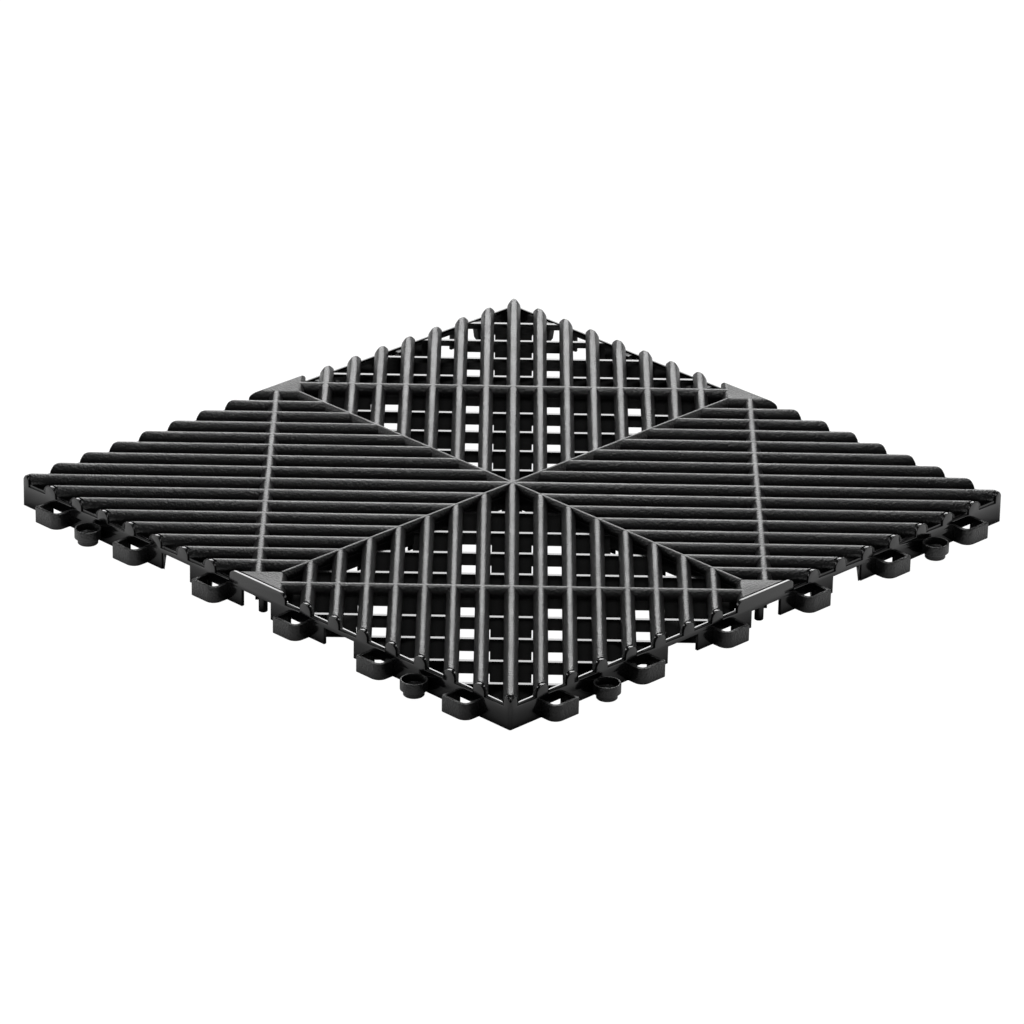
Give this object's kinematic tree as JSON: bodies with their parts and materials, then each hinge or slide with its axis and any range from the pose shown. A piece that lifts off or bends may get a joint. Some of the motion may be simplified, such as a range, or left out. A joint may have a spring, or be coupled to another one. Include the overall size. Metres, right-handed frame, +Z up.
{
  "type": "interlocking drainage tile",
  "caption": "Square black plastic drainage floor tile with arched ribs, open gaps, and loops and sockets on two sides for joining tiles.",
  "frame": {"origin": "middle of the square of the tile at floor level, on the flat underside of the centre foot; the loops and sockets are left out of the square", "axes": "+Z up, X and Y along the sides; loops and sockets stand out on the -Y and +X sides, pegs hang inside the -X and +Y sides"},
  "size_m": [0.4147, 0.4147, 0.0195],
  "materials": {
    "black_polypropylene": "satin moulded polypropylene with a fine texture"
  },
  "bodies": {
    "root": {"drainage_tile": "black_polypropylene"}
  },
  "joints": []
}
